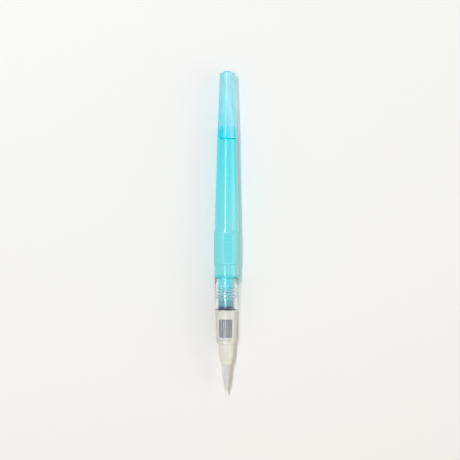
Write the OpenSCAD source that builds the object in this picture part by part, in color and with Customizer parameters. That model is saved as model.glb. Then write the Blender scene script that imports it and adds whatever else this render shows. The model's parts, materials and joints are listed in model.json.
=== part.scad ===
// Water brush pen, lying on the flat of its grip band, with its cap pushed on the tail.
// Every piece is drawn along Z from the bristle point (station 0) and laid down along Y at the end.

/* [Brush] */
// Length of bristle that shows in front of the nose
bristle_out = 16.9; // [14:0.1:20]
// Widest radius of the bristle tuft
tuft_r = 2.34; // [2.1:0.01:2.4]
// Length of the ferrule's nose
nose_len = 2.6; // [2:0.05:4]
// Radius of the ferrule's nose at the bristles
nose_tip_r = 2.85; // [2.7:0.01:3.0]
// Radius of the ferrule's nose at the holder
nose_base_r = 3.4; // [3.1:0.01:3.45]

/* [Front section] */
// Length of holder that shows in front of the clear shell
holder_out = 9.05; // [8:0.05:10]
// Radius of the holder, which the cap also fits
holder_r = 4.25; // [4.2:0.01:4.35]
// Length of the clear shell
shell_len = 36.8; // [34:0.1:40]
// Radius of the clear shell at its front edge
shell_front_r = 5.55; // [5.3:0.01:5.8]
// Radius of the clear shell at the tank
shell_rear_r = 6.48; // [6.3:0.01:6.6]
// Radius of the holder inside the clear shell
holder_in_r = 4.9; // [4.6:0.05:4.95]
// Width of the window cut through both sides of the holder
window_w = 6.9; // [5:0.1:7.2]
// Length of the window
window_len = 10.2; // [8:0.1:10.5]
// Turn of the window away from straight up
window_turn = 4; // [0:1:20]
// Number of fins round the feed
fin_count = 24; // [12:1:28]

/* [Thread] */
// Pitch of the screw thread on the tank's neck
pitch = 2.0; // [1.8:0.05:2.2]
// Crest radius of the neck's thread
thread_r = 5.02; // [4.9:0.01:5.05]
// Root radius of the neck's thread
neck_r = 4.40; // [4.35:0.01:4.5]

/* [Tank] */
// Length of the tank's body between the clear shell and the cap
body_len = 77.6; // [70:0.1:85]
// Radius of the tank beside the clear shell
heel_r = 6.75; // [6.6:0.01:6.8]
// Radius of the raised grip band
band_r = 7.06; // [6.95:0.01:7.2]
// Distance of the band's two flats from the axis
flat_d = 6.80; // [6.79:0.01:6.9]
// Radius of the body just behind the band
waist_r = 6.78; // [6.6:0.01:6.79]
// Radius of the body at the tail
tail_end_r = 5.60; // [5.4:0.01:5.8]
// Thickness of the tank's wall
tank_wall = 0.95; // [0.8:0.05:1.1]

/* [Cap] */
// Length of the cap without its hub
cap_len = 36.6; // [35:0.1:40]
// Radius of the cap's bead at the mouth
cap_mouth_r = 5.66; // [5.5:0.01:5.75]
// Radius of the cap at its end
cap_end_r = 4.32; // [4.2:0.01:4.5]
// Deepest cut of the four leaf-shaped finger scoops
scoop_depth = 0.9; // [0.5:0.05:1.0]
// How far the hub stands out of the cap's end
hub_out = 0.9; // [0.5:0.1:1.5]

/* [Hidden] */
$fn = 96;

tiny = 0.05;            // gap between pieces that meet face to face
slip = 0.03;            // radial gap between pieces that push together
cap_slip = 0.05;        // radial gap between the cap and what it fits on

// Stations along the axis, from the bristle point
nose_z = bristle_out;
holder_z = nose_z + nose_len + tiny;
shell_z = holder_z + holder_out;
shell_end_z = shell_z + shell_len;
body_z = shell_end_z + 2 * tiny;
body_end_z = body_z + body_len;
tail_len = 6.0;
tail_r = holder_r - 0.04;
tail_z = body_end_z + tail_len;
cap_z = body_end_z + 0.3;
cap_end_z = cap_z + cap_len;
hub_end_z = cap_end_z + hub_out;
total_len = hub_end_z;

// Finger scoops in the cap
scoop_sweep_r = 92;                 // along the cap
scoop_hollow_r = 13;                // across the cap

// Inside the front section
neck_z = body_z - 15.9;             // the neck's rim
gasket_z = neck_z - 2.2;            // the gasket's front face
gasket_t = 0.8;
holder_end_z = gasket_z - tiny;
collar_r = holder_r - 0.2;          // the holder in the shell's front wall
collar_end_z = shell_z + 2.3;
chamber_r = 3.95;                   // the feed chamber in the holder
chamber_z = collar_end_z + 0.6;
feed_r = chamber_r - slip;
feed_z = chamber_z + 0.4;
feed_end_z = holder_end_z - 1.4;
shank_r = 2.90;                     // the ferrule's shank in the holder
shank_end_z = holder_z + 8.6;
tuft_bore_r = 2.42;                 // the ferrule's bore
window_z = shell_z + 3.5;
thread_bore_r = thread_r + 0.18;
neck_bore_r = 3.5;
stem_r = 3.12;                      // the stopper's stem in the neck
flange_r = 4.5;                     // the stopper's flange
ring_z = neck_z + 1.6;              // the O-ring
thread_z = neck_z + 3.6;            // the neck's thread starts
tube_r = 0.45;
tube_bore_r = tube_r + slip;

// The tuft bends about this point
pivot_z = bristle_out - 1.0;
ball_r = 1.85;
socket_r = ball_r + 0.13;

// The grip band
band_z = body_z + 7.6;
band_len = 17.9;
band_end_z = band_z + band_len;
panel_w = 4.7;
panel_turn = 7;         // away from straight up
panel_d = flat_d - 0.35;
panel_margin = 0.9;
rib_count = 7;
rib_w = 0.8;
rib_len = 3.6;
rib_d = flat_d - 0.2;   // the ribs' tops

// The fill mark's dots
dot_count = 8;
dot_r = 0.26;
dot_pitch = 2.55;
dot_start = 47.7;       // from the body's front
dot_turn = 14;          // away from straight up

// The grooves between the feed's fins
groove_w = 0.42;
groove_depth = 1.1;

// Points on an arc round (cx, cz) from angle a to angle b
function arc(cx, cz, r, a, b, n = 6) =
    [for (i = [0:n]) [cx + r * cos(a + (b - a) * i / n), cz + r * sin(a + (b - a) * i / n)]];

// Turns a closed outline of [radius, station] points into a solid
module lathe(outline) rotate_extrude() polygon(outline);

module tube(r_out, r_in, z, len)
    difference() {
        translate([0, 0, z]) cylinder(r = r_out, h = len);
        translate([0, 0, z - 1]) cylinder(r = r_in, h = len + 2);
    }

// Helical ridge of a right-hand thread: trapezoid from base radius to crest radius,
// half widths w_base and w_crest, running up from station z for some turns
module ridge(r_base, r_crest, w_base, w_crest, z, turns, phase = 0, steps = 24) {
    n = ceil(turns * steps);
    // The ridge swells from nothing and dies away again over its first and last third of a turn
    function swell(i) = min(1, 0.12 + 3 * i / steps, 0.12 + 3 * (n - i) / steps);
    function crest(i) = r_base + (r_crest - r_base) * swell(i);
    rings = [for (i = [0:n]) let (a = phase + 360 * i / steps, zi = z + pitch * i / steps)
        [for (p = [[r_base, -w_base], [crest(i), -w_crest], [crest(i), w_crest], [r_base, w_base]])
            [p[0] * cos(a), p[0] * sin(a), zi + p[1]]]];
    points = [for (ring = rings) each ring];
    sides = [for (i = [0:n - 1], k = [0:3]) let (a = 4 * i + k, b = 4 * i + (k + 1) % 4)
        each [[a, b, b + 4], [a, b + 4, a + 4]]];
    inward = r_crest < r_base;
    faces = concat(sides, [[3, 2, 1], [3, 1, 0]],
        [[4 * n, 4 * n + 1, 4 * n + 2], [4 * n, 4 * n + 2, 4 * n + 3]]);
    polyhedron(points, inward ? [for (f = faces) [f[2], f[1], f[0]]] : faces, convexity = 10);
}

// The tank: blow-moulded body, grip band, screw neck and hollow tail in one piece
module tank_blank()
    lathe(concat(
        [[neck_r - 0.2, neck_z], [neck_r, neck_z + 0.2], [neck_r, body_z - 4.2],
         [5.72, body_z - 0.5], [5.75, body_z]],
        [[heel_r - 0.35, body_z]], arc(heel_r - 0.35, body_z + 0.35, 0.35, -60, 0, 4),
        [[heel_r, band_z - 0.3], [band_r - 0.12, band_z - 0.04], [band_r, band_z + 0.16],
         [band_r, band_end_z - 0.16], [band_r - 0.12, band_end_z + 0.04], [waist_r, band_end_z + 0.3]],
        [[tail_end_r + 0.04, body_end_z - 4.5]],
        arc(tail_end_r - 0.6, body_end_z - 0.6, 0.6, 0, 90),
        [[tail_r + 0.25, body_end_z], [tail_r, body_end_z + 0.25]],
        arc(tail_r - 0.5, tail_z - 0.5, 0.5, 0, 90),
        [[0, tail_z], [0, neck_z]]));

module tank_hollow() {
    w = tank_wall;
    lathe(concat(
        [[0, neck_z - 1], [neck_bore_r, neck_z - 1], [neck_bore_r, body_z - 3.6],
         [band_r - w - 0.35, body_z + 1.6], [band_r - w - 0.35, band_end_z + 1]],
        arc(tail_end_r - w - 0.6, body_end_z - w - 0.9, 0.6, 0, 60, 4),
        arc(tail_r - w - 0.3, tail_z - w - 0.3, 0.3, 0, 90, 4),
        [[0, tail_z - w]]));
}

module band_flats()
    for (side = [-1, 1])
        translate([-10, side > 0 ? flat_d : -flat_d - 5, band_z - 0.4]) cube([20, 5, band_len + 0.8]);

// Recess with raised cross ribs on the upper flat, where the thumb presses
module press_panel() {
    z0 = band_z + panel_margin;
    len = band_len - 2 * panel_margin;
    step = len / rib_count;
    rotate([0, 0, panel_turn])
        difference() {
            translate([-panel_w / 2, -band_r - 1, z0]) cube([panel_w, band_r + 1 - panel_d, len]);
            for (i = [0:rib_count - 1])
                translate([-rib_len / 2, -rib_d, z0 + step * (i + 0.5) - rib_w / 2])
                    cube([rib_len, 1, rib_w]);
        }
}

// A short row of raised dots beside the highlight line, as a fill mark
module fill_dots()
    for (i = [0:dot_count - 1]) {
        z = body_z + dot_start + dot_pitch * i;
        r = tail_end_r + (waist_r - tail_end_r) * (body_end_z - z) / (body_end_z - band_end_z);
        rotate([0, 0, dot_turn]) translate([0, -r + 0.5, z])
            rotate([90, 0, 0]) cylinder(r = dot_r, h = 0.62, $fn = 24);
    }

module tank()
    color("turquoise")
        union() {
            difference() {
                union() {
                    difference() {
                        tank_blank();
                        band_flats();
                        press_panel();
                    }
                    fill_dots();
                }
                tank_hollow();
            }
            ridge(neck_r - 0.14, thread_r, 0.52, 0.2, thread_z, 4, 180);
        }

// One leaf-shaped finger scoop: the inside of a wide ring that dips into the cap's wall
module scoop() {
    cap_slope = (cap_mouth_r - 0.15 - cap_end_r) / (cap_len - 2.2);
    deepest_z = cap_end_z - 8.2;
    wall_r = cap_end_r + cap_slope * 8.2;
    translate([0, -(wall_r - scoop_depth + scoop_sweep_r), deepest_z])
        rotate([0, -90, 0])
            rotate([0, 0, 78])
                rotate_extrude(angle = 24, $fn = 360)
                    translate([scoop_sweep_r - scoop_hollow_r, 0]) circle(r = scoop_hollow_r, $fn = 192);
}

// The cap: tapered tube with four finger scoops and a hub held by webs in its open end
module cap() {
    floor_z = cap_z + 29.1;
    pocket_z = floor_z + 1.2;
    pocket_r = 2.9;
    hub_r = 2.3;
    color("lightskyblue")
        difference() {
            union() {
                lathe(concat(
                    [[0, cap_z], [cap_mouth_r - 0.25, cap_z], [cap_mouth_r, cap_z + 0.25],
                     [cap_mouth_r, cap_z + 1.4], [cap_mouth_r - 0.15, cap_z + 2.2]],
                    arc(cap_end_r - 0.3, cap_end_z - 0.3, 0.3, 0, 90, 4), [[0, cap_end_z]]));
                lathe(concat([[0, pocket_z], [hub_r, pocket_z]],
                    arc(hub_r - 0.3, hub_end_z - 0.3, 0.3, 0, 90, 4), [[0, hub_end_z]]));
            }
            // The bore: a seat for the holder or the tail, then room for the nose and the bristles
            lathe(concat(
                [[0, cap_z - 1], [holder_r + cap_slip + 0.3, cap_z - 1], [holder_r + cap_slip + 0.3, cap_z],
                 [holder_r + cap_slip, cap_z + 0.35], [holder_r + cap_slip, cap_z + 9.2],
                 [3.80, cap_z + 11.5], [3.0, cap_z + 13.5], [2.75, cap_z + 17.0], [2.45, cap_z + 22.0]],
                arc(0.9, floor_z - 0.9, 0.9, 10, 90, 5), [[0, floor_z]]));
            for (a = [45:90:315])
                rotate([0, 0, a]) scoop();
            // The open ring round the hub, crossed by four webs
            difference() {
                tube(pocket_r, hub_r, pocket_z, cap_end_z - pocket_z + 1);
                for (a = [45:90:315])
                    rotate([0, 0, a]) translate([0, -0.3, pocket_z - 2])
                        cube([pocket_r + 1, 0.6, cap_end_z - pocket_z + 1.2]);
            }
        }
}

// Clear shell: holds the holder in front and screws on the tank's neck behind
module section_shell()
    color("azure", 0.5)
        union() {
            lathe(concat(
                [[collar_r + slip, shell_z]],
                arc(shell_front_r - 1.4, shell_z + 1.4, 1.4, -75, 0),
                [[5.70, shell_z + 7.4], [5.98, shell_z + 14.0], [6.20, shell_z + 18.4],
                 [6.40, shell_z + 25.0], [shell_rear_r, shell_z + 31.0]],
                arc(shell_rear_r - 0.3, shell_end_z - 0.3, 0.3, 0, 90, 4),
                [[5.95, shell_end_z], [thread_bore_r, body_z - 3.8], [thread_bore_r, holder_end_z],
                 [holder_in_r + slip, holder_end_z], [holder_in_r + slip, collar_end_z - tiny],
                 [collar_r + slip, collar_end_z - tiny]]));
            ridge(thread_bore_r + 0.14, neck_r + 0.2, 0.46, 0.18, thread_z + pitch / 2, 3, 180);
        }

// Ivory holder: carries the ferrule in its nose and the feed in its chamber, seen through two windows
module nib_holder() {
    window_z1 = window_z + window_len;
    color("ivory")
        difference() {
            lathe([[shank_r + slip, holder_z], [3.50, holder_z], [3.62, holder_z + 0.2],
                   [3.79, holder_z + 1.2], [3.96, holder_z + 2.4], [4.12, holder_z + 3.7],
                   [holder_r, holder_z + 4.8], [holder_r, shell_z - 0.2],
                   [collar_r, shell_z - tiny], [collar_r, collar_end_z],
                   [holder_in_r, collar_end_z], [holder_in_r, holder_end_z - 0.2],
                   [holder_in_r - 0.2, holder_end_z], [chamber_r, holder_end_z],
                   [chamber_r, chamber_z], [shank_r + slip, chamber_z]]);
            rotate([0, 0, -window_turn])
                translate([-window_w / 2, -10, window_z]) cube([window_w, 20, window_z1 - window_z]);
        }
}

// Grey feed: a comb of long fins that meters the water
module feed()
    color("dimgray")
        difference() {
            translate([0, 0, feed_z]) cylinder(r = feed_r, h = feed_end_z - feed_z);
            translate([0, 0, feed_z - 1]) cylinder(r = tube_bore_r, h = feed_end_z - feed_z + 2);
            for (i = [0:fin_count - 1])
                rotate([0, 0, 360 * i / fin_count])
                    translate([feed_r - groove_depth, -groove_w / 2, feed_z + 0.6])
                        cube([2, groove_w, feed_end_z - feed_z - 1.2]);
        }

module feed_tube() color("white") tube(tube_r, 0.22, nose_z + 1.2, feed_z + 5 - nose_z - 1.2);

// Dark stopper: closes the neck, with an O-ring on its stem
module stopper() {
    z = gasket_z + gasket_t + tiny;
    plug_r = chamber_r - 0.25;
    groove_r = stem_r - 0.35;
    color("darkslategray")
        lathe([[0.5, holder_end_z - 0.9], [plug_r, holder_end_z - 0.9], [plug_r, z], [flange_r, z],
               [flange_r, neck_z - 0.35], [flange_r - 0.2, neck_z - tiny], [stem_r, neck_z - tiny],
               [stem_r, ring_z - 0.4], [groove_r, ring_z - 0.4],
               [groove_r, ring_z + 0.4], [stem_r, ring_z + 0.4],
               [stem_r, neck_z + 2.7], [stem_r - 0.3, neck_z + 3.1], [0.5, neck_z + 3.1]]);
}

// Washer with a bevelled rim, between the holder and the stopper's flange
module gasket() {
    r = thread_bore_r - tiny;
    z1 = gasket_z + gasket_t;
    color("darkslategray")
        lathe([[chamber_r - 0.15, gasket_z], [r - 0.9, gasket_z], [r, gasket_z + 0.25],
               [r, z1 - 0.25], [r - 0.9, z1], [chamber_r - 0.15, z1]]);
}

module o_ring()
    color("darkslategray") translate([0, 0, ring_z]) rotate_extrude() translate([stem_r, 0]) circle(r = 0.31);

// Ferrule: tapered nose in front of the holder, shank inside it
module brush_ferrule()
    color("linen")
        lathe([[tuft_bore_r, nose_z], [nose_tip_r - 0.15, nose_z], [nose_tip_r, nose_z + 0.15],
               [nose_base_r, nose_z + nose_len - 0.2], [nose_base_r - 0.1, nose_z + nose_len],
               [shank_r, nose_z + nose_len], [shank_r, shank_end_z], [tuft_bore_r, shank_end_z]]);

// Melted heel that joins the roots of the bristles
module tuft_disc() color("lightgray") tube(tuft_bore_r - slip, tube_bore_r, shank_end_z - 1.3, 1.2);

// Roots of the bristles in the ferrule, with the ball that the tuft bends over
module bristle_root()
    color("whitesmoke")
        difference() {
            union() {
                translate([0, 0, nose_z + 0.05])
                    cylinder(r = tuft_bore_r - slip, h = shank_end_z - 1.35 - nose_z - 0.05);
                translate([0, 0, pivot_z]) cylinder(r = ball_r, h = 1.5);
                translate([0, 0, pivot_z]) sphere(r = ball_r);
            }
            translate([0, 0, nose_z + 1.1]) cylinder(r = tube_bore_r, h = 30);
        }

// Bristle tuft: pointed, with a slight belly
module bristles()
    color("gainsboro")
        difference() {
            lathe([[0, 0], [0.10, 0.03], [0.32, 1.3], [0.60, 2.6], [0.90, 3.8], [1.19, 5.0], [1.44, 6.1],
                   [1.67, 7.2], [1.87, 8.3], [2.02, 9.4], [2.15, 10.6], [2.25, 12.0], [2.31, 13.5],
                   [tuft_r, pivot_z - 0.3], [0, pivot_z - 0.3]]);
            translate([0, 0, pivot_z]) sphere(r = socket_r);
        }

// Lays a piece down: stations run along +Y from the bristles to the cap, with the panel upwards
module lay() translate([0, -total_len / 2, flat_d]) rotate([-90, 0, 0]) children();

lay() cap();
lay() tank();
lay() section_shell();
lay() nib_holder();
lay() feed();
lay() feed_tube();
lay() stopper();
lay() gasket();
lay() o_ring();
lay() brush_ferrule();
lay() tuft_disc();
lay() bristle_root();
lay() bristles();
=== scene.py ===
import json
import math
import random

import bpy
from mathutils import Matrix, Vector


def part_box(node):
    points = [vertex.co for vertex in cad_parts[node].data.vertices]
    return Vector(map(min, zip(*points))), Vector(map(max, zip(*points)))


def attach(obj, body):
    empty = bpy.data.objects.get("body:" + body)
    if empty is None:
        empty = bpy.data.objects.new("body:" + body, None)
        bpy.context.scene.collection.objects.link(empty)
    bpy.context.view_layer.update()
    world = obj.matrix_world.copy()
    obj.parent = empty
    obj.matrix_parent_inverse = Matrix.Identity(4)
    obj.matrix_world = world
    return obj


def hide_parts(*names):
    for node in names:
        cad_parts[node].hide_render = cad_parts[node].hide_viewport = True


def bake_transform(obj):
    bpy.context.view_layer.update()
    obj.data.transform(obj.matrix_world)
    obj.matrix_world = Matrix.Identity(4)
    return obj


MM = 0.001
SIDES = 192  # round an outer surface
TOUCHING = 1e-7  # points nearer than this, in metres, count as one

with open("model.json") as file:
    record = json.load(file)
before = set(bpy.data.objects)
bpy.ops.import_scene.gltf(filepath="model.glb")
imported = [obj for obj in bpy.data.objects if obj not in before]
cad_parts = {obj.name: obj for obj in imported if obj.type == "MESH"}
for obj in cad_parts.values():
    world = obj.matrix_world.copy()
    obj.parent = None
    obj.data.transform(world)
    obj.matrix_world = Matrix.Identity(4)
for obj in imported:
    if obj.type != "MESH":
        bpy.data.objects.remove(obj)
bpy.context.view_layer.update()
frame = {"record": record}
mounts = {mount["name"]: mount for mount in frame["record"]["mounts"]}


# ---------------------------------------------------------------- places along the pen, from the frame

axis_z = mounts["grip_band"]["pos_m"][2]
tip_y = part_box("bristles")[0].y
nose_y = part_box("brush_ferrule")[0].y
holder_end_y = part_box("nib_holder")[1].y
shell_y, shell_end_y = (corner.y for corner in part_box("section_shell"))
neck_y, tail_y = (corner.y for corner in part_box("tank"))
cap_y, hub_end_y = (corner.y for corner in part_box("cap"))

band_edge = 0.16 * MM  # the rounding at each end of the grip band
band_r = mounts["grip_band"]["dims"]["r_mm"] * MM
band_half = mounts["grip_band"]["dims"]["length_mm"] / 2 * MM + band_edge
band_y = mounts["grip_band"]["pos_m"][1] - band_half
band_end_y = band_y + 2 * band_half

seat_r = mounts["cap_seat"]["dims"]["r_mm"] * MM  # the holder's radius where a cap sits
tail_r = seat_r - 0.04 * MM

body_y = shell_end_y + 0.1 * MM  # the tank's heel, just behind the clear shell
body_end_y = tail_y - 6.0 * MM  # the tank's shoulder, where its tail starts
cap_end_y = hub_end_y - 0.9 * MM  # the cap's rim, which the hub stands out of
waist_r = 6.78 * MM  # the tank behind its grip band
shoulder_r = 5.60 * MM  # the tank at its shoulder

pitch = 2.0 * MM
thread_y = neck_y + 3.6 * MM


# ---------------------------------------------------------------- mesh tools


def arc(centre_y, centre_r, radius, start, end, steps=6):
    """Points (y, r) on an arc; angles in degrees, 0 away from the axis and 90 towards the cap."""
    angles = [math.radians(start + (end - start) * i / steps) for i in range(steps + 1)]
    return [(centre_y + radius * math.sin(a), centre_r + radius * math.cos(a)) for a in angles]


def smooth_line(knots, step):
    """Points (y, r) on a smooth line through the knots, about step apart."""
    slopes = [(b[1] - a[1]) / (b[0] - a[0]) for a, b in zip(knots, knots[1:])]
    tangents = [slopes[0]]
    for before, after in zip(slopes, slopes[1:]):
        tangents.append(0.0 if before * after <= 0 else 2 * before * after / (before + after))
    tangents.append(slopes[-1])
    points = []
    for i, ((y0, r0), (y1, r1)) in enumerate(zip(knots, knots[1:])):
        length = y1 - y0
        count = max(1, round(abs(length) / step))
        for j in range(count):
            t = j / count
            points.append((
                y0 + length * t,
                (2 * t**3 - 3 * t**2 + 1) * r0 + (t**3 - 2 * t**2 + t) * length * tangents[i]
                + (3 * t**2 - 2 * t**3) * r1 + (t**3 - t**2) * length * tangents[i + 1],
            ))
    return points + [knots[-1]]


def straight(start, end, step):
    """Evenly spaced points (y, r) from start to end."""
    count = max(1, round(math.dist(start, end) / step))
    return [
        (start[0] + (end[0] - start[0]) * i / count, start[1] + (end[1] - start[1]) * i / count)
        for i in range(count + 1)
    ]


def new_mesh(name, vertices, faces, sharp=35):
    """A smooth-shaded object, with edges over sharp degrees kept sharp."""
    mesh = bpy.data.meshes.new(name)
    mesh.from_pydata(vertices, [], faces)
    mesh.validate()
    mesh.update()
    mesh.shade_smooth()
    mesh.set_sharp_from_angle(angle=math.radians(sharp))
    obj = bpy.data.objects.new(name, mesh)
    bpy.context.collection.objects.link(obj)
    return obj


def lathe(name, outline, shape=None):
    """A closed outline of points (y, r), turned round the pen's axis.

    shape(angle, y, r) returns (y, r) for a point that leaves the round form.
    """
    vertices, faces, rows = [], [], []
    previous = None
    for y, r in outline:
        if previous is not None and math.dist(previous, (y, r)) < TOUCHING:
            continue
        previous = (y, r)
        if r < TOUCHING:
            rows.append([len(vertices)])
            vertices.append((0.0, y, axis_z))
            continue
        rows.append(list(range(len(vertices), len(vertices) + SIDES)))
        for i in range(SIDES):
            angle = 2 * math.pi * i / SIDES
            yy, rr = shape(angle, y, r) if shape else (y, r)
            vertices.append((rr * math.cos(angle), yy, axis_z + rr * math.sin(angle)))
    for a, b in zip(rows, rows[1:] + rows[:1]):
        for i in range(SIDES):
            j = (i + 1) % SIDES
            if len(a) == 1 and len(b) == 1:
                break
            if len(a) == 1:
                faces.append((a[0], b[i], b[j]))
            elif len(b) == 1:
                faces.append((a[i], b[0], a[j]))
            else:
                faces.append((a[i], b[i], b[j], a[j]))
    return new_mesh(name, vertices, faces)


def clamp(value):
    """value, held between 0 and 1."""
    return min(1.0, max(0.0, value))


def soft_step(value, blur):
    """0 for a value below 0 and 1 above it, turning over a stretch of blur."""
    t = clamp(value / blur + 0.5)
    return t * t * (3 - 2 * t)


def ridge_height(angle, y, start_y, turns, base_half, crest_half):
    """How far up a right-hand thread's ridge a point lies, from 0 to 1."""
    along = y - start_y + pitch * (angle - math.pi) / (2 * math.pi)
    off = along - round(along / pitch) * pitch
    wound = (y - start_y) / pitch - off / pitch
    # The ridge rises and dies away over a third of a turn at its ends
    swell = clamp(0.12 + 3 * wound) * clamp(0.12 + 3 * (turns - wound))
    return swell * clamp((base_half - abs(off)) / (base_half - crest_half))


# ---------------------------------------------------------------- materials


def new_material(name):
    material = bpy.data.materials.new(name)
    material.use_nodes = True
    tree = material.node_tree
    return material, tree, tree.nodes["Principled BSDF"], tree.nodes["Material Output"]


def add(tree, kind, **settings):
    """A new node, with its own properties set."""
    node = tree.nodes.new(kind)
    for key, value in settings.items():
        setattr(node, key, value)
    return node


def noise_of(tree, scale, detail=3.0, stretch=(1, 1, 1)):
    """Noise in the object's own space, stretched along Y where stretch says so."""
    place = add(tree, "ShaderNodeTexCoord")
    mapping = add(tree, "ShaderNodeMapping")
    mapping.inputs["Scale"].default_value = stretch
    noise = add(tree, "ShaderNodeTexNoise")
    noise.inputs["Scale"].default_value = scale
    noise.inputs["Detail"].default_value = detail
    tree.links.new(place.outputs["Object"], mapping.inputs["Vector"])
    tree.links.new(mapping.outputs["Vector"], noise.inputs["Vector"])
    return noise.outputs["Fac"]


def along_pen(tree, start_y, end_y):
    """0 at start_y and 1 at end_y, in the object's own space."""
    place = add(tree, "ShaderNodeTexCoord")
    split = add(tree, "ShaderNodeSeparateXYZ")
    tree.links.new(place.outputs["Object"], split.inputs["Vector"])
    along = add(tree, "ShaderNodeMapRange")
    along.inputs["From Min"].default_value = start_y
    along.inputs["From Max"].default_value = end_y
    tree.links.new(split.outputs["Y"], along.inputs["Value"])
    return along.outputs["Result"]


def ramp(tree, source, stops):
    """A colour ramp through stops, a list of (place, colour)."""
    node = add(tree, "ShaderNodeValToRGB")
    elements = node.color_ramp.elements
    while len(elements) < len(stops):
        elements.new(0.5)
    for element, (place, colour) in zip(elements, stops):
        element.position = place
        element.color = (*colour, 1)
    tree.links.new(source, node.inputs["Fac"])
    return node.outputs["Color"]


def grey_ramp(tree, source, stops):
    """A ramp of plain numbers through stops, a list of (place, number)."""
    return ramp(tree, source, [(place, (value, value, value)) for place, value in stops])


def bump(tree, source, height, strength):
    node = add(tree, "ShaderNodeBump")
    node.inputs["Strength"].default_value = strength
    node.inputs["Distance"].default_value = height
    tree.links.new(source, node.inputs["Height"])
    return node.outputs["Normal"]


def let_lamps_through(tree, shader, output, tint):
    """Lamps reach what is behind the plastic, tinted, as they do through thin clear walls."""
    path = add(tree, "ShaderNodeLightPath")
    clear = add(tree, "ShaderNodeBsdfTransparent")
    clear.inputs["Color"].default_value = (*tint, 1)
    mix = add(tree, "ShaderNodeMixShader")
    tree.links.new(path.outputs["Is Shadow Ray"], mix.inputs["Fac"])
    tree.links.new(shader.outputs["BSDF"], mix.inputs[1])
    tree.links.new(clear.outputs["BSDF"], mix.inputs[2])
    tree.links.new(mix.outputs["Shader"], output.inputs["Surface"])


def clear_plastic(name, tones, tint, clearness, ior, streak, coat):
    """Clear plastic with a faint milkiness.

    tones are (y, colour) along the pen, tint is what lamps lose through it, and streak is how pale
    its painted highlights are: pale streaks along the pen that stand in for glints of light in the clear
    wall.
    """
    material, tree, shader, output = new_material(name)
    start, end = tones[0][0], tones[-1][0]
    stops = [((y - start) / (end - start), colour) for y, colour in tones]
    tone = ramp(tree, along_pen(tree, start, end), stops)
    # Painted highlights: pale streaks along the pen, mixed towards white, stand in for glints of light
    # in the clear wall.
    painted_glint_noise = noise_of(tree, 420, 2, (1, 0.03, 1))
    streaks = grey_ramp(tree, painted_glint_noise, [(0.38, 0), (0.62, streak)])
    mix = add(tree, "ShaderNodeMix", data_type="RGBA")
    mix.inputs[7].default_value = (1, 1, 1, 1)
    tree.links.new(streaks, mix.inputs["Factor"])
    tree.links.new(tone, mix.inputs[6])
    tree.links.new(mix.outputs[2], shader.inputs["Base Color"])
    shader.inputs["Roughness"].default_value = 0.06
    shader.inputs["Coat Weight"].default_value = coat
    shader.inputs["Coat Roughness"].default_value = 0.12
    shader.inputs["IOR"].default_value = ior
    shader.inputs["Transmission Weight"].default_value = clearness
    ripple = noise_of(tree, 260, 2, (1, 0.3, 1))
    tree.links.new(bump(tree, ripple, 0.004 * MM, 0.4), shader.inputs["Normal"])
    let_lamps_through(tree, shader, output, tint)
    return material


def tank_plastic():
    """Milky aqua polyethylene: deep at the neck, pale at the matt grip band, glossy towards the tail."""
    material, tree, shader, output = new_material("aqua_polyethylene")
    length = tail_y - neck_y
    glossy, matt = 0.14, 0.5

    def at(y):
        return (y - neck_y) / length

    along = along_pen(tree, neck_y, tail_y)
    tone = ramp(tree, along, [
        (at(neck_y + 2.8 * MM), (0.10, 0.36, 0.42)),
        (at(neck_y + 4.2 * MM), (0.16, 0.56, 0.63)),
        (at(body_y + 0.4 * MM), (0.095, 0.74, 0.82)),
        (at(body_y + 1.4 * MM), (0.105, 0.77, 0.83)),
        (at(body_y + 2.0 * MM), (0.25, 0.82, 0.85)),
        (at(band_end_y), (0.24, 0.83, 0.87)),
        (at(band_end_y + 12 * MM), (0.20, 0.845, 0.885)),
        (at(body_end_y - 20 * MM), (0.13, 0.84, 0.91)),
        (at(body_end_y - 1.2 * MM), (0.11, 0.83, 0.93)),
        (at(body_end_y - 0.75 * MM), (0.005, 0.83, 0.93)),
        (at(body_end_y + 0.05 * MM), (0.0, 0.93, 0.99)),
    ])
    cloudiness = noise_of(tree, 260, 3, (1, 0.12, 1))
    cloud = ramp(tree, cloudiness, [(0.3, (0.93, 0.97, 0.97)), (0.7, (1, 1, 1))])
    panel = add(tree, "ShaderNodeAttribute", attribute_name="panel")
    deep = ramp(tree, panel.outputs["Fac"], [(0, (1, 1, 1)), (1, (0.74, 0.95, 0.96))])
    for layer in (cloud, deep):
        mix = add(tree, "ShaderNodeMix", data_type="RGBA", blend_type="MULTIPLY")
        mix.inputs[0].default_value = 1.0
        tree.links.new(tone, mix.inputs[6])
        tree.links.new(layer, mix.inputs[7])
        tone = mix.outputs[2]
    tree.links.new(tone, shader.inputs["Base Color"])
    gloss = grey_ramp(tree, along, [
        (at(band_y), glossy),
        (at(band_y + 0.3 * MM), matt),
        (at(band_end_y), matt),
        (at(band_end_y + 0.3 * MM), glossy),
    ])
    tree.links.new(gloss, shader.inputs["Roughness"])
    shader.inputs["IOR"].default_value = 1.5
    shader.inputs["Specular IOR Level"].default_value = 0.75
    shader.inputs["Transmission Weight"].default_value = 0.22
    tree.links.new(bump(tree, noise_of(tree, 700), 0.006 * MM, 0.4), shader.inputs["Normal"])
    let_lamps_through(tree, shader, output, (0.17, 0.55, 0.57))
    return material


def solid_plastic(name, low, high, roughness, grain):
    """Moulded plastic: a little colour variation between low and high, and a fine moulded grain."""
    material, tree, shader, _ = new_material(name)
    tone = ramp(tree, noise_of(tree, 300), [(0.3, low), (0.7, high)])
    tree.links.new(tone, shader.inputs["Base Color"])
    shader.inputs["Roughness"].default_value = roughness
    tree.links.new(bump(tree, noise_of(tree, 900), grain, 0.6), shader.inputs["Normal"])
    return material


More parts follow.
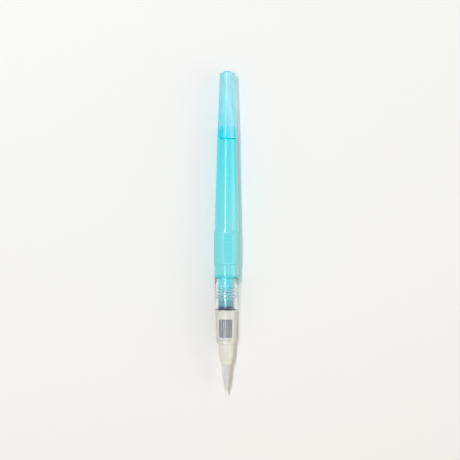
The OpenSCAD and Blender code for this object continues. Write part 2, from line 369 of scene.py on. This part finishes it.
def filament():
    """White nylon: fine streaks along each filament."""
    material, tree, shader, _ = new_material("nylon_filament")
    streak = noise_of(tree, 2600, 2, (1, 0.04, 1))
    tone = ramp(tree, streak, [(0.25, (0.74, 0.75, 0.72)), (0.75, (0.90, 0.91, 0.88))])
    tree.links.new(tone, shader.inputs["Base Color"])
    shader.inputs["Roughness"].default_value = 0.42
    shader.inputs["Sheen Weight"].default_value = 0.15
    return material


def floor_paper():
    """Pale matt paper, with painted light: lighter and cooler towards the far end, where the key lamp
    stands.
    """
    material, tree, shader, _ = new_material("pale_floor")
    along = along_pen(tree, -0.13, 0.13)
    # Painted light: the paper is lighter and cooler towards the far end, as if lit more there by the key
    # lamp.
    painted_light_falloff = ramp(tree, along, [(0, (0.865, 0.855, 0.825)), (1, (0.875, 0.875, 0.865))])
    tree.links.new(painted_light_falloff, shader.inputs["Base Color"])
    shader.inputs["Roughness"].default_value = 0.85
    shader.inputs["Specular IOR Level"].default_value = 0.1
    return material


# ---------------------------------------------------------------- pieces


def build_tank(material):
    """One moulding: threaded neck, heel, grip band with its press panel, long taper and tail."""
    flat_d = axis_z  # the pen rests on the band's lower flat
    heel_r = 6.75 * MM
    neck_r = 4.40 * MM
    crest_r = 5.02 * MM
    bore_r = 3.5 * MM
    wall = 0.95 * MM
    outside_r = 6.3 * MM  # near the band, only the outside is this far out
    cone_y = body_y - 4.1 * MM  # the neck's cone, between its thread and the heel

    panel_half = 2.35 * MM
    panel_turn = math.radians(7)
    panel_d = flat_d - 0.35 * MM
    panel_margin = 0.9 * MM
    panel_blur = 0.12 * MM
    panel_y = band_y + panel_margin
    panel_end_y = band_end_y - panel_margin
    rib_step = (panel_end_y - panel_y) / 7
    rib_half = 0.4 * MM
    rib_reach = 1.8 * MM
    rib_blur = 0.2 * MM
    rib_height = 0.15 * MM

    def in_panel(angle, y, r):
        """How far inside the press panel's outline a point lies, from 0 to 1."""
        if math.sin(angle + panel_turn) < 0.5 or r < outside_r:
            return 0.0
        return (
            soft_step(panel_half - abs(r * math.cos(angle + panel_turn)), panel_blur)
            * soft_step(y - panel_y, panel_blur)
            * soft_step(panel_end_y - y, panel_blur)
        )

    def shape(angle, y, r):
        if band_y - 1 * MM < y < band_end_y + 1 * MM and r > outside_r:
            if abs(math.sin(angle)) > 0.5:
                r = min(r, flat_d / abs(math.sin(angle)))
            inside = in_panel(angle, y, r)
            if inside > 0:
                across = abs(r * math.cos(angle + panel_turn))
                place = (y - panel_y) / rib_step % 1 - 0.5
                rib = soft_step(rib_half - abs(place) * rib_step, rib_blur)
                rib *= soft_step(rib_reach - across, rib_blur)
                depth = (panel_d + rib * rib_height) / math.sin(angle + panel_turn)
                r = min(r, r + (depth - r) * inside)
        elif thread_y - 1 * MM < y < cone_y and r > bore_r + 0.1 * MM:
            r += (crest_r - neck_r) * ridge_height(angle, y, thread_y, 4, 0.5 * MM, 0.2 * MM)
        return y, r

    neck = (
        [(neck_y, bore_r + 0.15 * MM), (neck_y, neck_r - 0.2 * MM)]
        + arc(neck_y + 0.2 * MM, neck_r - 0.2 * MM, 0.2 * MM, -90, 0, 4)
        + straight((neck_y + 0.4 * MM, neck_r), (cone_y - 0.2 * MM, neck_r), 0.08 * MM)
        + [
            (cone_y, neck_r + 0.03 * MM),
            (body_y - 0.55 * MM, 5.70 * MM),
            (body_y - 0.4 * MM, 5.73 * MM),
            (body_y - 0.02 * MM, 5.75 * MM),
            (body_y, 5.77 * MM),
            (body_y, heel_r - 0.35 * MM),
        ]
    )
    band = (
        arc(body_y + 0.35 * MM, heel_r - 0.35 * MM, 0.35 * MM, -80, 0, 5)
        + straight((body_y + 0.5 * MM, heel_r), (band_y - 0.3 * MM, heel_r), 1.0 * MM)
        + arc(band_y + band_edge, band_r - band_edge, band_edge, -70, 0, 4)
        + straight((band_y + 0.3 * MM, band_r), (band_end_y - 0.3 * MM, band_r), 0.071 * MM)
        + arc(band_end_y - band_edge, band_r - band_edge, band_edge, 0, 70, 4)
    )
    taper = smooth_line(
        [
            (band_end_y + 0.3 * MM, waist_r),
            (band_end_y + 14 * MM, 6.47 * MM),
            (band_end_y + 31 * MM, 6.02 * MM),
            (body_end_y - 4.5 * MM, shoulder_r + 0.04 * MM),
            (body_end_y - 0.7 * MM, shoulder_r),
        ],
        1.0 * MM,
    )
    tail = (
        arc(body_end_y - 0.6 * MM, shoulder_r - 0.6 * MM, 0.6 * MM, 0, 90, 8)
        + arc(body_end_y + 0.25 * MM, tail_r + 0.25 * MM, 0.25 * MM, 270, 180, 4)
        + straight((body_end_y + 0.4 * MM, tail_r), (tail_y - 0.6 * MM, tail_r), 1.0 * MM)
        + arc(tail_y - 0.5 * MM, tail_r - 0.5 * MM, 0.5 * MM, 0, 90, 8)
        + [(tail_y, 1.5 * MM), (tail_y, 0)]
    )
    hollow_r = band_r - wall - 0.35 * MM
    inside = (
        [(tail_y - wall, 0), (tail_y - wall, 1.5 * MM)]
        + arc(tail_y - wall - 0.3 * MM, tail_r - wall - 0.3 * MM, 0.3 * MM, 90, 0, 5)
        + [
            (body_end_y - 0.6 * MM, tail_r - wall),
            (body_end_y - 1.4 * MM, tail_r - wall + 0.3 * MM),
            (body_end_y - 2.6 * MM, shoulder_r - wall),
            (band_end_y + 1 * MM, hollow_r),
            (body_y + 1.6 * MM, hollow_r),
            (body_y - 3.6 * MM, bore_r),
            (neck_y + 0.15 * MM, bore_r),
        ]
    )
    tank = lathe("tank_body_shell", neck + band + taper + tail + inside, shape)
    deep = tank.data.attributes.new("panel", "FLOAT", "POINT")
    for vertex, value in zip(tank.data.vertices, deep.data):
        up = vertex.co.z - axis_z
        value.value = in_panel(math.atan2(up, vertex.co.x), vertex.co.y, math.hypot(up, vertex.co.x))
    tank.data.materials.append(material)
    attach(tank, "tank_body")
    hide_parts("tank")


def build_fill_dots(material):
    """A row of small raised dots along the tank."""
    count = 8
    first_dot_y = body_y + 47.7 * MM
    dot_step = 2.55 * MM
    dot_r = 0.3 * MM
    rise = 0.13 * MM
    sink = 0.02 * MM
    turn = math.radians(90 - 14)
    rings, sides = 4, 16
    out = Vector((math.cos(turn), 0, math.sin(turn)))
    side = Vector((-math.sin(turn), 0, math.cos(turn)))
    along = Vector((0, 1, 0))
    vertices, faces = [], []
    for k in range(count):
        y = first_dot_y + dot_step * k
        share = (body_end_y - y) / (body_end_y - band_end_y)
        centre = Vector((0, y, axis_z)) + out * (shoulder_r + (waist_r - shoulder_r) * share - sink)
        first = len(vertices)
        for i in range(rings):
            lift = math.sin(math.pi / 2 * i / rings)
            spread = math.cos(math.pi / 2 * i / rings)
            for j in range(sides):
                a = 2 * math.pi * j / sides
                across = (side * math.cos(a) + along * math.sin(a)) * dot_r * spread
                vertices.append(centre + out * rise * lift + across)
        vertices.append(centre + out * rise)
        top = len(vertices) - 1
        for i in range(rings - 1):
            for j in range(sides):
                a = first + i * sides + j
                b = first + i * sides + (j + 1) % sides
                faces.append((a, b, b + sides, a + sides))
        last = first + (rings - 1) * sides
        faces += [(last + j, last + (j + 1) % sides, top) for j in range(sides)]
        faces.append([first + j for j in reversed(range(sides))])
    dots = new_mesh("fill_dots", vertices, faces)
    dots.data.materials.append(material)
    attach(dots, "tank_body")


def build_cap(material):
    """A clear cap with four leaf-shaped scoops outside, and a hub in its far end on four webs."""
    mouth_r = 5.66 * MM
    end_r = 4.32 * MM
    bore_r = seat_r + 0.05 * MM
    floor_y = cap_y + 29.1 * MM  # the bottom of the bore
    pocket_y = floor_y + 1.2 * MM  # the open ring round the hub
    pocket_r = 2.9 * MM
    hub_r = 2.3 * MM
    web_half = 0.3 * MM
    web_top_y = cap_end_y - 0.8 * MM
    lip = 0.15 * MM  # the mouth stands this much proud of the wall

    # Each scoop is cut by a round of hollow_r, swept towards the cap's ends on sweep_r
    hollow_r, sweep_r, depth = 13 * MM, 92 * MM, 0.9 * MM
    from_end = 8.2 * MM  # the scoops are deepest here
    deepest_y = cap_end_y - from_end
    slope = (mouth_r - lip - end_r) / (cap_end_y - cap_y - 2.2 * MM)
    wall_r = end_r + slope * from_end
    blur = 0.05 * MM

    def shape(angle, y, r):
        off = (angle - math.pi / 4) % (math.pi / 2)
        off = min(off, math.pi / 2 - off)
        if pocket_y - 0.01 * MM < y and r < pocket_r + 0.3 * MM:
            if r > hub_r - 0.01 * MM and abs(r * math.sin(off)) < web_half and y < web_top_y:
                y = web_top_y
            return y, r
        if y > cap_y + 8 * MM and r > 3.5 * MM:
            lift = sweep_r - math.sqrt(sweep_r**2 - (y - deepest_y) ** 2)
            centre = wall_r - depth + lift + hollow_r
            inside = hollow_r**2 - (centre * math.sin(off)) ** 2
            if inside > 0:
                scoop = centre * math.cos(off) - math.sqrt(inside)
                h = clamp(0.5 + (scoop - r) / (2 * blur))
                r = scoop * (1 - h) + r * h - blur * h * (1 - h)
        return y, r

    outside = (
        arc(cap_y + 0.25 * MM, mouth_r - 0.25 * MM, 0.25 * MM, -90, 0, 5)
        + [(cap_y + 1.4 * MM, mouth_r)]
        + smooth_line(
            [(cap_y + 1.7 * MM, mouth_r - 0.05 * MM), (cap_y + 2.2 * MM, mouth_r - lip)], 0.2 * MM
        )
        + straight((cap_y + 2.6 * MM, mouth_r - 0.16 * MM), (cap_end_y - 0.3 * MM, end_r), 0.3 * MM)
        + arc(cap_end_y - 0.3 * MM, end_r - 0.3 * MM, 0.3 * MM, 15, 90, 5)
    )
    pocket_and_hub = (
        [(cap_end_y, pocket_r + 0.15 * MM)]
        + arc(cap_end_y - 0.15 * MM, pocket_r + 0.15 * MM, -0.15 * MM, -90, 0, 4)
        + straight((cap_end_y - 0.3 * MM, pocket_r), (pocket_y + 0.2 * MM, pocket_r), 0.5 * MM)
        + [(pocket_y, pocket_r), (pocket_y, (pocket_r + hub_r) / 2), (pocket_y, hub_r)]
        + straight((pocket_y + 0.2 * MM, hub_r), (hub_end_y - 0.35 * MM, hub_r), 0.5 * MM)
        + arc(hub_end_y - 0.3 * MM, hub_r - 0.3 * MM, 0.3 * MM, 0, 90, 5)
        + [(hub_end_y, 0.8 * MM), (hub_end_y, 0)]
    )
    bore = (
        [(floor_y, 0)]
        + arc(floor_y - 0.9 * MM, 0.9 * MM, 0.9 * MM, 90, 10, 8)
        + smooth_line(
            [
                (floor_y - 0.8 * MM, 1.8 * MM),
                (cap_y + 22.0 * MM, 2.45 * MM),
                (cap_y + 17.0 * MM, 2.75 * MM),
                (cap_y + 13.5 * MM, 3.0 * MM),
                (cap_y + 11.5 * MM, 3.8 * MM),
                (cap_y + 9.2 * MM, bore_r),
            ],
            0.5 * MM,
        )
        + straight((cap_y + 9.0 * MM, bore_r), (cap_y + 0.35 * MM, bore_r), 1.5 * MM)
        + [(cap_y, bore_r + 0.3 * MM)]
    )
    cap = lathe("cap_shell", outside + pocket_and_hub + bore, shape)
    cap.data.materials.append(material)
    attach(cap, "cap_body")
    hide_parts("cap")


def build_section_shell(material):
    """The clear outer shell of the front section, with the thread inside that takes the tank's neck."""
    collar_r = seat_r - 0.22 * MM
    holder_r = 4.9 * MM
    bore_r = holder_r - 0.02 * MM  # wetted by the holder, with no air between them
    thread_r = 5.20 * MM
    gasket_r = thread_r - 0.07 * MM
    crest_r = 4.60 * MM
    rear_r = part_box("section_shell")[1].x
    gasket_y, gasket_end_y = (corner.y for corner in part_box("gasket"))
    collar_end_y = shell_y + 2.32 * MM

    def shape(angle, y, r):
        if abs(r - thread_r) < 0.01 * MM:
            height = ridge_height(angle, y, thread_y + pitch / 2, 3, 0.42 * MM, 0.18 * MM)
            r -= (thread_r - crest_r) * height
        return y, r

    outside = (
        [(shell_y, collar_r)]
        + arc(shell_y + 1.4 * MM, 4.15 * MM, 1.4 * MM, -84, 0, 12)
        + smooth_line(
            [
                (shell_y + 1.5 * MM, 5.555 * MM),
                (shell_y + 7.4 * MM, 5.74 * MM),
                (shell_y + 14 * MM, 5.99 * MM),
                (shell_y + 18.4 * MM, 6.18 * MM),
                (shell_y + 25 * MM, 6.38 * MM),
                (shell_y + 31 * MM, rear_r - 0.01 * MM),
                (shell_end_y - 0.35 * MM, rear_r),
            ],
            0.7 * MM,
        )
        + arc(shell_end_y - 0.3 * MM, rear_r - 0.3 * MM, 0.3 * MM, 0, 90, 5)
    )
    inside = (
        [(shell_end_y, 5.95 * MM), (body_y - 3.8 * MM, thread_r + 0.02 * MM)]
        + straight((body_y - 3.9 * MM, thread_r), (neck_y + 0.8 * MM, thread_r), 0.1 * MM)
        + [
            (gasket_end_y - 0.2 * MM, thread_r),
            (gasket_end_y - 0.25 * MM, gasket_r),
            (gasket_y + 0.25 * MM, gasket_r),
            (gasket_y + 0.2 * MM, thread_r),
            (holder_end_y, thread_r),
            (holder_end_y, bore_r),
            (collar_end_y, bore_r),
            (collar_end_y, collar_r),
        ]
    )
    shell = lathe("section_clear_shell", outside + inside, shape)
    shell.data.materials.append(material)
    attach(shell, "section_body")
    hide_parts("section_shell")


def tuft_radius(t):
    """Radius of the tuft at a distance t from its point, both in metres."""
    knots = [
        (0, 0.03), (1.0, 0.22), (2.6, 0.60), (3.8, 0.90), (5.0, 1.19), (6.1, 1.44), (7.2, 1.67),
        (8.3, 1.87), (9.4, 2.02), (10.6, 2.15), (12.0, 2.25), (13.5, 2.31), (15.0, 2.34),
    ]
    for (t0, r0), (t1, r1) in zip(knots, knots[1:]):
        if t <= t1 * MM:
            return (r0 + (r1 - r0) * (t / MM - t0) / (t1 - t0)) * MM
    return knots[-1][1] * MM


def filament_line(rng, k, count, steps, root_y):
    """The middle line of filament k, and its radius at the root. rng is drawn from in turn."""
    share = 0.35 + 0.65 * math.sqrt((k + 0.5) / count)
    angle = k * math.pi * (3 - math.sqrt(5))
    end_t = 0.05 * MM + rng.random() ** 2 * 3.2 * MM * share
    thick = rng.uniform(0.055, 0.07) * MM
    drift = rng.uniform(-0.10, 0.10)
    wave = rng.uniform(0, 6.28)
    line = []
    for i in range(steps + 1):
        f = i / steps
        y = root_y + (tip_y + end_t - root_y) * f
        limit = tuft_radius(max(0.0, y - tip_y)) - 0.9 * thick
        reach = max(0.02 * MM, limit * (share + 0.03 * math.sin(wave + 5 * f)))
        if y > nose_y - 0.3 * MM:
            reach = min(reach, 2.3 * MM * share)
        a = angle + drift * f
        line.append(Vector((reach * math.cos(a), y, axis_z + reach * math.sin(a))))
    return line, thick


def build_bristles(material):
    """The tuft: some hundreds of tapered filaments that lie close and meet at the point."""
    rng = random.Random(7)
    sides, steps, count = 5, 16, 620
    vertices, faces = [], []
    for k in range(count):
        line, thick = filament_line(rng, k, count, steps, nose_y + 0.9 * MM)
        for i, centre in enumerate(line):
            width = thick * (1 - 0.75 * clamp((i / steps - 0.45) / 0.55) ** 1.3)
            ahead = line[min(i + 1, steps)] - line[max(i - 1, 0)]
            ahead.normalize()
            u = ahead.cross(Vector((0, 0, 1))).normalized()
            v = ahead.cross(u)
            for j in range(sides):
                b = 2 * math.pi * j / sides
                vertices.append(centre + (u * math.cos(b) + v * math.sin(b)) * width)
        first = len(vertices) - (steps + 1) * sides
        for i in range(steps):
            for j in range(sides):
                a = first + i * sides + j
                b = first + i * sides + (j + 1) % sides
                faces.append((a, b, b + sides, a + sides))
        faces.append([first + j for j in reversed(range(sides))])
        faces.append([first + steps * sides + j for j in range(sides)])
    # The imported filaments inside, closed up to a core
    core_sides, core_steps, core_start = 24, 40, 3
    core_end_y = nose_y + 0.5 * MM
    core = [tip_y + (core_end_y - tip_y) * i / core_steps for i in range(core_start, core_steps + 1)]
    first = len(vertices)
    vertices.append(Vector((0, core[0] - 0.3 * MM, axis_z)))
    for y in core:
        reach = 0.88 * tuft_radius(y - tip_y) - 0.03 * MM
        for j in range(core_sides):
            b = 2 * math.pi * j / core_sides
            vertices.append(Vector((reach * math.cos(b), y, axis_z + reach * math.sin(b))))
    faces += [(first, first + 1 + j, first + 1 + (j + 1) % core_sides) for j in range(core_sides)]
    for i in range(len(core) - 1):
        for j in range(core_sides):
            a = first + 1 + i * core_sides + j
            b = first + 1 + i * core_sides + (j + 1) % core_sides
            faces.append((a, a + core_sides, b + core_sides, b))
    faces.append([len(vertices) - 1 - j for j in range(core_sides)])
    tuft = new_mesh("bristle_filaments", vertices, faces, 60)
    tuft.data.materials.append(material)
    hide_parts("bristles")
    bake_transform(tuft)


def set_material(node, material):
    """Gives a carried-over CAD node its material."""
    for slot in bpy.data.objects[node].material_slots:
        slot.material = material


# ---------------------------------------------------------------- stage, light, camera


def build_stage():
    size = 3.0
    corners = [(-size, -size, 0), (size, -size, 0), (size, size, 0), (-size, size, 0)]
    floor = new_mesh("floor", corners, [(0, 1, 2, 3)])
    floor.data.materials.append(floor_paper())


def add_lamp(name, place, size, energy, colour):
    """A rectangular soft box that faces the middle of the pen, its second side along the pen."""
    lamp = bpy.data.lights.new(name, "AREA")
    lamp.shape = "RECTANGLE"
    lamp.size, lamp.size_y = size
    lamp.color = colour
    lamp.energy = energy
    obj = bpy.data.objects.new(name, lamp)
    back = place.normalized()
    side = Vector((0, 1, 0)).cross(back).normalized()
    obj.location = place
    obj.rotation_euler = Matrix((side, back.cross(side), back)).transposed().to_euler()
    obj.visible_transmission = False  # through clear plastic, lamps give only their tinted light
    bpy.context.collection.objects.link(obj)


def build_lights():
    world = bpy.data.worlds.new("studio")
    bpy.context.scene.world = world
    world.use_nodes = True
    background = world.node_tree.nodes["Background"]
    background.inputs["Color"].default_value = (1, 0.95, 0.84, 1)
    background.inputs["Strength"].default_value = 0.51
    towards_key = Vector((-0.27, 0.31, 1.0)).normalized()
    add_lamp("key", towards_key * 1.4, (0.06, 0.07), 8.7, (0.81, 0.87, 1.0))
    add_lamp("strip", Vector((-0.34, 0.04, 1.35)), (0.03, 0.46), 2.5, (1.0, 1.0, 1.0))
    add_lamp("fill", Vector((1.3, -0.1, 0.5)), (1.1, 1.1), 5.5, (1.0, 0.99, 0.95))


def build_camera():
    """Looks straight down, with the pen placed and sized in the frame as in the photograph."""
    view_width = 257.6 * MM  # across the frame at the pen's axis
    camera = bpy.data.cameras.new("camera")
    camera.lens = 100
    camera.sensor_width = 36
    camera.clip_start = 0.05
    camera.clip_end = 20
    distance = camera.lens / camera.sensor_width * view_width
    obj = bpy.data.objects.new("camera", camera)
    obj.location = (1.85 * MM, 1.70 * MM, axis_z + distance)
    obj.rotation_euler = (0, 0, math.radians(0.3))
    bpy.context.collection.objects.link(obj)
    bpy.context.scene.camera = obj


# ---------------------------------------------------------------- the scene

# Material name, darker and lighter colour, roughness, grain in millimetres, and the nodes it is on
SOLID_PLASTICS = [
    ("ivory_holder", (0.74, 0.715, 0.65), (0.77, 0.745, 0.68), 0.35, 0.01, ["nib_holder"]),
    ("ivory_nose", (0.79, 0.775, 0.685), (0.82, 0.805, 0.715), 0.4, 0.01, ["brush_ferrule"]),
    ("feed_grey", (0.25, 0.27, 0.285), (0.31, 0.33, 0.345), 0.5, 0.01, ["feed"]),
    ("tube_white", (0.78, 0.78, 0.76), (0.83, 0.83, 0.81), 0.4, 0.005, ["feed_tube"]),
    ("stopper_navy", (0.008, 0.055, 0.115), (0.014, 0.065, 0.13), 0.3, 0.01, ["stopper"]),
    ("dark_rubber", (0.001, 0.011, 0.036), (0.003, 0.017, 0.046), 0.6, 0.015, ["gasket", "o_ring"]),
    ("melted_nylon", (0.66, 0.66, 0.62), (0.74, 0.74, 0.70), 0.5, 0.03, ["tuft_disc"]),
]

CAP_TONES = [
    (cap_y, (0.0, 0.98, 1.0)),
    (cap_y + 0.7 * MM, (0.0, 0.95, 1.0)),
    (cap_y + 1.2 * MM, (0.0, 0.86, 0.98)),
    (cap_y + 4.6 * MM, (0.05, 0.85, 0.98)),
    (cap_y + 7.6 * MM, (0.30, 0.91, 0.99)),
    (cap_end_y - 14 * MM, (0.37, 0.92, 0.99)),
    (cap_end_y - 1.2 * MM, (0.34, 0.91, 0.99)),
    (hub_end_y, (0.10, 0.85, 0.98)),
]
SHELL_TONES = [(shell_y, (0.965, 0.975, 0.965)), (shell_end_y, (0.965, 0.98, 0.975))]

bpy.context.scene.view_settings.view_transform = "Standard"

tank_material = tank_plastic()
build_tank(tank_material)
build_fill_dots(tank_material)
build_cap(clear_plastic(
    "cap_clear_aqua", CAP_TONES, tint=(0.31, 0.55, 0.59), clearness=0.5, ior=1.4, streak=0.42, coat=0.35
))
build_section_shell(clear_plastic(
    "clear_styrene", SHELL_TONES, tint=(0.83, 0.83, 0.81), clearness=0.99, ior=1.49, streak=0.3, coat=0.4
))
build_bristles(filament())

for name, low, high, roughness, grain, nodes in SOLID_PLASTICS:
    plastic = solid_plastic(name, low, high, roughness, grain * MM)
    for node in nodes:
        set_material(node, plastic)
set_material("bristle_root", filament())

build_stage()
build_lights()
build_camera()
